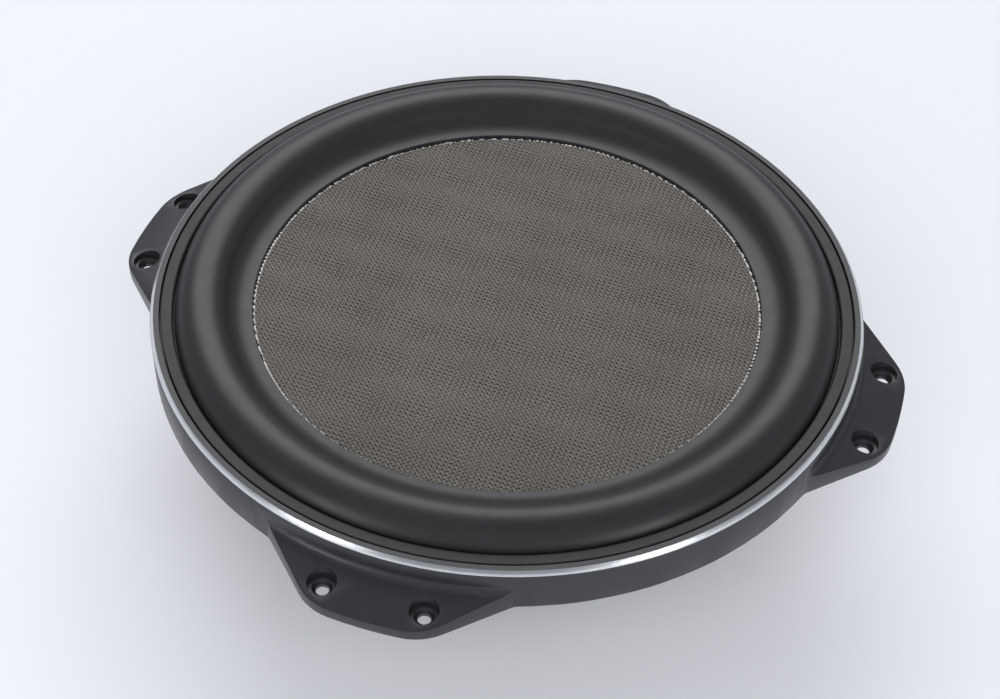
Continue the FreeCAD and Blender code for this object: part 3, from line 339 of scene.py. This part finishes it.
def corner_edges(bm, steepest):
    """Edges where two faces meet in an outward corner sharper than an angle in degrees."""
    return [edge for edge in bm.edges if edge.is_manifold and edge.is_convex
            and edge.calc_face_angle(0) > math.radians(steepest)]


def face_reach(face):
    """Distance of a face's middle from the axis."""
    middle = face.calc_center_median()
    return math.hypot(middle.x, middle.y)


RIM_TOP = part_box("basket")[1][2]
basket_mesh = merged_copy("basket")
ear_level = RIM_TOP - EAR_DROP
outer_corners = [edge for edge in corner_edges(basket_mesh, 40)
                 if max(vert.co.z for vert in edge.verts) < ear_level
                 and min(math.hypot(vert.co.x, vert.co.y) for vert in edge.verts) > CHAMFER_OUTER]
bmesh.ops.bevel(basket_mesh, geom=outer_corners, offset=EDGE_ROUND, offset_type="OFFSET",
                segments=3, profile=0.5, affect="EDGES", clamp_overlap=True, material=-1)
for face in basket_mesh.faces:
    reach = face_reach(face)
    height = face.calc_center_median().z
    if height > RIM_TOP - CHAMFER_DROP and CHAMFER_INNER < reach and face.normal.z > 0.3:
        face.material_index = CHAMFER_SLOT
    elif height > RIM_TOP - LAND_DROP and face.normal.z > 0.5:
        face.material_index = LAND_SLOT
basket = new_piece("basket_casting", basket_mesh, cast_black, "frame")
basket.data.materials.append(turned_land.material)
basket.data.materials.append(bright_cut.material)
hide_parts("basket")


# ---- base screws ------------------------------------------------------------
# Six socket-head screws of black plated steel hold the basket's foot down on the
# top plate.

paint_node("base_screws", black_steel)


# ---- voice coil -------------------------------------------------------------
# Two layers of enamelled copper wire wound side by side on an aluminium foil
# former, with a kraft paper wrap above the winding.

WIRE_PITCH = 0.5 * MM

copper_wire = Finish("enamelled_copper", (0.62, 0.27, 0.13), 0.28, metallic=0.9)
copper_wire.tint(copper_wire.noise(6 * MM), (0.55, 0.2, 0.08), (0.7, 0.33, 0.17))
turns = copper_wire.add("ShaderNodeTexWave", "Fac", {"bands_direction": "Z"},
                        Vector=copper_wire.place, Scale=math.pi / 10 / WIRE_PITCH)
copper_wire.relief(turns, 0.12 * MM)
for name in ("coil_winding_inner", "coil_winding_outer"):
    paint_node(name, copper_wire)

foil = Finish("former_foil", (0.75, 0.75, 0.76), 0.3, metallic=1.0)
foil.tint(foil.noise(4 * MM), (0.66, 0.66, 0.68), (0.82, 0.82, 0.82))
foil.relief(foil.noise(1.5 * MM), 0.03 * MM)
paint_node("coil_former", foil)


def fibre_paper(name, dark, light):
    """Paper with matted fibres and a dull surface."""
    finish = Finish(name, dark, 0.85)
    fibres = finish.noise(0.5 * MM, 6.0, finish.turned_place(0.6, (1, 0.25, 1)))
    finish.tint(fibres, dark, light)
    finish.relief(fibres, 0.08 * MM)
    return finish


kraft = fibre_paper("kraft_paper", (0.32, 0.2, 0.1), (0.5, 0.34, 0.19))
paint_node("coil_wrap", kraft)


# ---- neck ring, drive tube and cone -----------------------------------------
# The neck ring joins the coil to a wide drive tube of stiff paper.  The cone is
# felted from black paper pulp and has a flat lap at its edge.

ring_plastic = Finish("neck_ring_plastic", (0.025, 0.025, 0.027), 0.45)
ring_plastic.soft_edges(0.3 * MM)
ring_plastic.tint(ring_plastic.noise(6 * MM), (0.02, 0.02, 0.021), (0.035, 0.035, 0.037))
ring_plastic.relief(ring_plastic.noise(0.4 * MM), 0.02 * MM)
paint_node("neck_ring", ring_plastic)

paint_node("drive_tube", kraft)

pulp = fibre_paper("pressed_pulp", (0.012, 0.012, 0.012), (0.05, 0.05, 0.048))
paint_node("cone_body", pulp)


# ---- spider -----------------------------------------------------------------
# The lower suspension: resin stiffened cotton pressed into rings of waves.  Its
# foot is glued to the basket and its collar to the coil former.

def radial_blend(obj, inner, outer):
    """The piece follows the cone at its inner radius and the frame at its outer one."""
    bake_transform(obj, "frame", "cone", start=(outer, 0, 0), end=(inner, 0, 0))
    share = obj.data.attributes["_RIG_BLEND"].data
    for vert in obj.data.vertices:
        away = math.hypot(vert.co.x, vert.co.y)
        inward = min(max((outer - away) / (outer - inner), 0.0), 1.0)
        share[vert.index].value = inward * inward * (3 - 2 * inward)


SPIDER_FOOT = 76.5 * MM
SPIDER_END = 40.5 * MM
CLOTH_PITCH = 0.55 * MM

spider_cloth = Finish("stiffened_cloth", (0.55, 0.42, 0.22), 0.8, Sheen_Weight=0.3)
cloth_threads = []
for direction in ("X", "Y"):
    threads = spider_cloth.add("ShaderNodeTexWave", "Fac", {"bands_direction": direction},
                               Vector=spider_cloth.place, Scale=math.pi / 10 / CLOTH_PITCH)
    cloth_threads.append(threads)
cloth = spider_cloth.add("ShaderNodeMath", "Value", {"operation": "MULTIPLY"})
for index, threads in enumerate(cloth_threads):
    spider_cloth.tree.links.new(threads, cloth.node.inputs[index])
# The cloth is coloured darker between its threads: painted shade in the gaps that the relief also sinks.
spider_cloth.tint(cloth, (0.3, 0.2, 0.08), (0.62, 0.47, 0.25))
spider_cloth.relief(cloth, 0.15 * MM)
spider = new_piece("spider_cloth_disc", merged_copy("spider"), spider_cloth)
radial_blend(spider, SPIDER_END, SPIDER_FOOT)
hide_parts("spider")

paint_node("spider_clamp_ring", ring_plastic)


# ---- woven skin -------------------------------------------------------------
# A flat disc of glass fibre cloth, plain woven and filled with resin, glued on
# the cone's edge.  It is cut with a die; its yarn is coloured whitish at the edge.

WARP_PITCH = 1.43 * MM
WEFT_PITCH = 1.58 * MM
WARP_ANGLE = math.radians(136)
WEFT_ANGLE = math.radians(40.6)
THREAD_FILL = 0.76
THREAD_TALL = 0.24 * MM
THREAD_SWING = 0.2 * MM
FRAY = 0.25 * MM
RESIN_STEPS = 256

skin_low, skin_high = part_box("woven_skin")
SKIN_RADIUS = skin_high[0]
SKIN_TOP = skin_high[2]
RESIN_TOP = SKIN_TOP - 2.2 * THREAD_SWING - THREAD_TALL


def lay_threads(angle, pitch, cross_pitch, phase, seed):
    """One family of threads, each a narrow grid that rises and falls over the other family."""
    chance = random.Random(seed)
    bm = bmesh.new()
    turn = Matrix.Rotation(angle, 3, "Z")
    middle_height = SKIN_TOP - THREAD_SWING
    for lane in range(-int(SKIN_RADIUS / pitch), int(SKIN_RADIUS / pitch) + 1):
        offset = (lane + 0.02 * chance.uniform(-1, 1)) * pitch
        half = math.sqrt(max(SKIN_RADIUS ** 2 - offset ** 2, 0)) - 0.1 * MM
        steps = max(2, round(4 * half / cross_pitch))
        cut = [half - FRAY * chance.random() for end in range(2)]
        grid = bmesh.ops.create_grid(bm, x_segments=steps, y_segments=3, size=0.5)
        for vert in grid["verts"]:
            along = min(max(vert.co.x * 2 * half, -cut[0]), cut[1])
            across = vert.co.y * 2
            wave = math.cos(math.pi * (along / cross_pitch + lane + phase))
            width = pitch / 2 * THREAD_FILL * (1 + 0.08 * wave)
            height = middle_height + THREAD_SWING * wave - THREAD_TALL * across ** 2
            vert.co = turn @ Vector((along, offset + across * width, height))
    return bm


def thread_finish(name, dark, light, angle):
    """Resin-filled glass yarn: streaks along the thread, white at the cut edge."""
    finish = Finish(name, dark, 0.4, Specular_IOR_Level=0.5)
    along = finish.turned_place(-angle, (0.12, 1, 1))
    streaks = finish.noise(0.3 * MM, 4.0, along)
    patches = finish.span(finish.noise(45 * MM, 1.0), 0.3, 0.7, 0.85, 1.0)
    mixed = finish.add("ShaderNodeMath", "Value", {"operation": "MULTIPLY"})
    finish.tree.links.new(streaks, mixed.node.inputs[0])
    finish.tree.links.new(patches, mixed.node.inputs[1])
    tint = finish.tint(finish.span(mixed, 0.3, 0.65), dark, light)
    ragged = finish.add("ShaderNodeMath", "Value", {"operation": "MULTIPLY_ADD"})
    finish.tree.links.new(finish.noise(0.8 * MM, 2.0), ragged.node.inputs[0])
    ragged.node.inputs[1].default_value = 0.9 * MM
    finish.tree.links.new(finish.radius(), ragged.node.inputs[2])
    edge = finish.span(ragged, SKIN_RADIUS - 0.35 * MM, SKIN_RADIUS + 0.15 * MM)
    finish.tint_over(tint, edge, (0.8, 0.77, 0.72))
    finish.gloss(streaks, 0.5, 0.32)
    finish.relief(streaks, 0.03 * MM)
    return finish


# Warp and weft are one glass yarn. The warp's lighter colours are painted light and the weft's darker ones
# are painted shade, for the light falling across the weave.
warp_yarn_painted_light = thread_finish("warp_yarn_painted_light", (0.055, 0.048, 0.04), (0.15, 0.132, 0.11), WARP_ANGLE)
weft_yarn_painted_shade = thread_finish("weft_yarn_painted_shade", (0.045, 0.039, 0.032), (0.12, 0.105, 0.088), WEFT_ANGLE)
new_piece("woven_skin_warp", lay_threads(WARP_ANGLE, WARP_PITCH, WEFT_PITCH, 0, 3),
          warp_yarn_painted_light, "cone")
new_piece("woven_skin_weft", lay_threads(WEFT_ANGLE, WEFT_PITCH, WARP_PITCH, 1, 4),
          weft_yarn_painted_shade, "cone")

resin = Finish("skin_resin", (0.005, 0.0045, 0.004), 0.6, Specular_IOR_Level=0.2)
resin.tint(resin.noise(1.2 * MM), (0.003, 0.003, 0.002), (0.007, 0.006, 0.005))
resin.relief(resin.noise(0.5 * MM), 0.05 * MM)
resin_profile = [(0, skin_low[2]), (SKIN_RADIUS, skin_low[2]),
                 (SKIN_RADIUS, RESIN_TOP), (SKIN_RADIUS - 0.3 * MM, RESIN_TOP + 0.15 * MM),
                 (SKIN_RADIUS - 0.6 * MM, RESIN_TOP), (0, RESIN_TOP)]
skin_resin = new_piece("woven_skin_resin", turned(resin_profile, RESIN_STEPS), resin,
                       "cone")
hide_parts("woven_skin")


# ---- surround ---------------------------------------------------------------
# The upper suspension: a moulded butyl rubber half roll with a flat foot glued
# on the cone and another on the basket.

ROLL_OUTER = 133.5 * MM
ROLL_WIDTH = 22.6 * MM
ROLL_WALL = 1.2 * MM
ROLL_RADIUS = ROLL_WIDTH / 2
ROLL_CENTRE = ROLL_OUTER - ROLL_RADIUS
LAND_ROUND = 11.3 * MM
LIP_ROUND = 0.3 * MM
INNER_FOOT = 7.5 * MM
FOOT_WALL = 1.1 * MM
SEAT_DROP = 3.8 * MM
LIP_GAP = 0.3 * MM
LIP_RISE = 1.3 * MM
ROLL_STEPS = 256

roll_low, roll_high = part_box("surround")
gasket_low, gasket_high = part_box("front_gasket")
ROLL_LEVEL = roll_high[2] - ROLL_RADIUS
SEAT_LEVEL = RIM_TOP - SEAT_DROP
FOOT_TOP = SEAT_LEVEL + FOOT_WALL
LIP_RADIUS = SKIN_RADIUS + LIP_GAP
FLAT_TOP = SKIN_TOP + LIP_RISE
LAP_TOP = skin_low[2] - FOOT_WALL

roll_rubber = Finish("roll_rubber", (0.012, 0.012, 0.013), 0.42, Specular_IOR_Level=0.5)
roll_rubber.tint(roll_rubber.noise(20 * MM), (0.010, 0.010, 0.011), (0.015, 0.015, 0.0165))
roll_rubber.gloss(roll_rubber.noise(7 * MM), 0.47, 0.38)
roll_rubber.relief(roll_rubber.noise(0.25 * MM, 2.0), 0.012 * MM)


def roll_angle(radius, level):
    """Where an arc about the roll's centre passes a level, in degrees."""
    return math.degrees(math.asin((level - ROLL_LEVEL) / radius))


def hollow_round(radius):
    """Middle of the hollow rounding between the roll and the flat beside the skin."""
    rise = FLAT_TOP + radius - ROLL_LEVEL
    return ROLL_CENTRE - math.sqrt((ROLL_RADIUS + radius) ** 2 - rise ** 2), FLAT_TOP + radius


round_middle = hollow_round(LAND_ROUND)
meeting = math.degrees(math.atan2(round_middle[1] - ROLL_LEVEL, round_middle[0] - ROLL_CENTRE))
roll_profile = [(gasket_high[0], SEAT_LEVEL), (gasket_high[0], FOOT_TOP)]
roll_profile += arc((ROLL_CENTRE, ROLL_LEVEL), ROLL_RADIUS,
                    roll_angle(ROLL_RADIUS, FOOT_TOP), meeting, 44)
roll_profile += arc(round_middle, LAND_ROUND, meeting - 180, -90, 16)[1:]
roll_profile += arc((LIP_RADIUS + LIP_ROUND, FLAT_TOP - LIP_ROUND), LIP_ROUND, 90, 180, 3)
roll_profile += [(LIP_RADIUS, skin_low[2]), (LIP_RADIUS - INNER_FOOT, skin_low[2]),
                 (LIP_RADIUS - INNER_FOOT, LAP_TOP), (LIP_RADIUS + ROLL_WALL, LAP_TOP),
                 (LIP_RADIUS + ROLL_WALL, FLAT_TOP - ROLL_WALL)]
bare_radius = ROLL_RADIUS - ROLL_WALL
roll_profile += arc((ROLL_CENTRE, ROLL_LEVEL), bare_radius,
                    180 - roll_angle(bare_radius, FLAT_TOP - ROLL_WALL),
                    roll_angle(bare_radius, SEAT_LEVEL), 32)
surround = new_piece("surround_rubber", turned(roll_profile, ROLL_STEPS), roll_rubber)
radial_blend(surround, ROLL_CENTRE - ROLL_RADIUS, ROLL_OUTER - 1.5 * MM)
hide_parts("surround")


# ---- front gasket -----------------------------------------------------------
# A rubber ring over the surround's outer foot, level with the rim, which seals
# the speaker against a grille or a panel.  A thin gap parts it from the rim.

GASKET_INNER = 133.8 * MM
GASKET_ROUND = 1.2 * MM
GASKET_EDGE = 0.25 * MM
GASKET_STEPS = 256

gasket_rubber = Finish("gasket_rubber", (0.03, 0.03, 0.032), 0.52, Specular_IOR_Level=0.45)
gasket_rubber.tint(gasket_rubber.noise(12 * MM), (0.013, 0.013, 0.014), (0.019, 0.019, 0.0205))
gasket_rubber.gloss(gasket_rubber.noise(4 * MM), 0.6, 0.48)
gasket_rubber.relief(gasket_rubber.noise(0.3 * MM), 0.02 * MM)

gasket_profile = [(gasket_high[0], gasket_low[2]), (gasket_high[0], gasket_high[2] - GASKET_EDGE),
                  (gasket_high[0] - GASKET_EDGE, gasket_high[2])]
gasket_profile += arc((GASKET_INNER + GASKET_ROUND, gasket_high[2] - GASKET_ROUND),
                      GASKET_ROUND, 90, 180, 6)
gasket_profile += [(GASKET_INNER, gasket_low[2])]
gasket = new_piece("front_gasket_ring", turned(gasket_profile, GASKET_STEPS), gasket_rubber,
                   "frame")
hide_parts("front_gasket")


# ---- terminals --------------------------------------------------------------
# A block on each side, moulded in black and held by two zinc plated screws.  Red
# and black spring buttons clamp the bare wire; brass strips and tinsel leads run
# on to the coil.

moulded_black = Finish("moulded_black", (0.025, 0.025, 0.026), 0.45)
moulded_black.soft_edges(0.35 * MM)
moulded_black.tint(moulded_black.noise(5 * MM), (0.02, 0.02, 0.021), (0.035, 0.035, 0.036))
moulded_black.relief(moulded_black.noise(0.5 * MM), 0.025 * MM)

moulded_red = Finish("moulded_red", (0.45, 0.02, 0.02), 0.4)
moulded_red.soft_edges(0.35 * MM)
moulded_red.tint(moulded_red.noise(5 * MM), (0.38, 0.015, 0.015), (0.5, 0.03, 0.025))
moulded_red.relief(moulded_red.noise(0.5 * MM), 0.02 * MM)

brass = Finish("brass_strip", (0.7, 0.5, 0.2), 0.3, metallic=1.0)
brass.soft_edges(0.15 * MM)
brass.tint(brass.noise(3 * MM), (0.6, 0.42, 0.16), (0.76, 0.56, 0.26))
brass.relief(brass.noise(0.6 * MM), 0.02 * MM)

spring_steel = Finish("spring_steel", (0.5, 0.5, 0.52), 0.3, metallic=1.0)
spring_steel.tint(spring_steel.noise(2 * MM), (0.42, 0.42, 0.44), (0.58, 0.58, 0.6))
spring_steel.relief(spring_steel.noise(0.3 * MM), 0.01 * MM)

braid = Finish("copper_braid", (0.6, 0.4, 0.28), 0.4, metallic=0.8)
strands = braid.add("ShaderNodeTexWave", "Fac", {"bands_direction": "DIAGONAL"},
                    Vector=braid.place, Scale=math.pi / 10 / (0.45 * MM), Distortion=1.5)
# The braid is coloured dark between its strands: painted shade in the grooves that the relief sinks.
braid.tint(strands, (0.22, 0.12, 0.07), (0.75, 0.52, 0.38))
braid.relief(strands, 0.12 * MM)

SPRING_FIXED = 60 * MM
for side in ("right", "left"):
    paint_node(f"terminal_block_{side}", moulded_black)
    paint_node(f"terminal_screws_{side}", zinc)
    for pole, plastic, slot in (("plus", moulded_red, "moulded_red"),
                                ("minus", moulded_black, "moulded_black")):
        paint_node(f"push_button_{side}_{pole}", plastic)
        paint_node(f"contact_{side}_{pole}", brass)
        lead_low, lead_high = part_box(f"tinsel_lead_{side}_{pole}")
        lead = new_piece(f"tinsel_braid_{side}_{pole}", merged_copy(f"tinsel_lead_{side}_{pole}"),
                         braid)
        ends = [(lead_high[0], 0, 0), (lead_low[0], 0, 0)]
        if side == "left":
            ends.reverse()
        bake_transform(lead, "frame", "cone", start=ends[0], end=ends[1])
        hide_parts(f"tinsel_lead_{side}_{pole}")
        spring_low, spring_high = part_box(f"button_spring_{side}_{pole}")
        spring = new_piece(f"button_coil_{side}_{pole}", merged_copy(f"button_spring_{side}_{pole}"),
                           spring_steel)
        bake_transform(spring, "frame", f"button_{side}_{pole}", start=(0, 0, spring_high[2]),
                 end=(0, 0, spring_low[2]))
        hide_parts(f"button_spring_{side}_{pole}")


# ---- floor, light and camera ------------------------------------------------
# A pale floor, a large soft box at the back, two small boxes low in front that the
# rubber mirrors, a wide fill that it doesn't, and the camera above the near ear.

CAMERA_PLACE = (0.16817, -0.54805, 0.65015)
CAMERA_AZIMUTH = math.radians(17.3)
CAMERA_ELEVATION = math.radians(45.54)
CAMERA_ROLL = math.radians(1.7)
CAMERA_LENS = 71.03
FLOOR_SIZE = 6.0
LAMP_COLOUR = (0.96, 0.97, 1.0)

floor_mesh = bmesh.new()
bmesh.ops.create_grid(floor_mesh, x_segments=2, y_segments=2, size=FLOOR_SIZE / 2)
floor_paper = Finish("floor_paper", (0.8, 0.81, 0.83), 0.7)
floor_paper.tint(floor_paper.noise(0.4, 2.0), (0.79, 0.8, 0.825), (0.81, 0.82, 0.84))
floor = bpy.data.objects.new("floor", bpy.data.meshes.new("floor"))
floor_mesh.to_mesh(floor.data)
floor_mesh.free()
floor.data.materials.append(floor_paper.material)
bpy.context.scene.collection.objects.link(floor)

world = bpy.data.worlds.new("studio")
world.use_nodes = True
world.node_tree.nodes["Background"].inputs["Color"].default_value = (0.92, 0.945, 1.0, 1)
world.node_tree.nodes["Background"].inputs["Strength"].default_value = 0.4
bpy.context.scene.world = world
bpy.context.scene.view_settings.view_transform = "Standard"


def soft_light(name, bearing, elevation, distance, width, height, power, mirrored=True):
    """A soft box that faces the speaker, its bearing counted from straight behind it."""
    way = CAMERA_AZIMUTH + math.radians(90 + bearing)
    rise = math.radians(elevation)
    flat = distance * math.cos(rise)
    lamp = bpy.data.lights.new(name, "AREA")
    lamp.shape = "RECTANGLE"
    lamp.size = width
    lamp.size_y = height
    lamp.energy = power
    lamp.color = LAMP_COLOUR
    obj = bpy.data.objects.new(name, lamp)
    obj.location = (flat * math.cos(way), flat * math.sin(way), distance * math.sin(rise) + 0.1)
    obj.rotation_euler = (-Vector(obj.location)).to_track_quat("-Z", "Y").to_euler()
    obj.visible_glossy = mirrored
    bpy.context.scene.collection.objects.link(obj)


soft_light("back_light", 6, 45, 2.0, 2.0, 1.25, 24)
soft_light("left_reflector", 133, 8, 1.5, 0.35, 0.5, 3.2)
soft_light("right_reflector", -140, 4, 1.5, 0.3, 0.4, 3.2)
soft_light("front_fill", 180, 36, 2.3, 2.8, 1.8, 48, mirrored=False)

camera = bpy.data.objects.new("camera", bpy.data.cameras.new("camera"))
camera.data.lens = CAMERA_LENS
camera.data.sensor_width = 36
camera.location = CAMERA_PLACE
turn_up = Euler((math.pi / 2 - CAMERA_ELEVATION, 0, CAMERA_AZIMUTH), "XYZ").to_matrix()
camera.rotation_euler = (turn_up @ Matrix.Rotation(CAMERA_ROLL, 3, "Z")).to_euler()
bpy.context.scene.collection.objects.link(camera)
bpy.context.scene.camera = camera
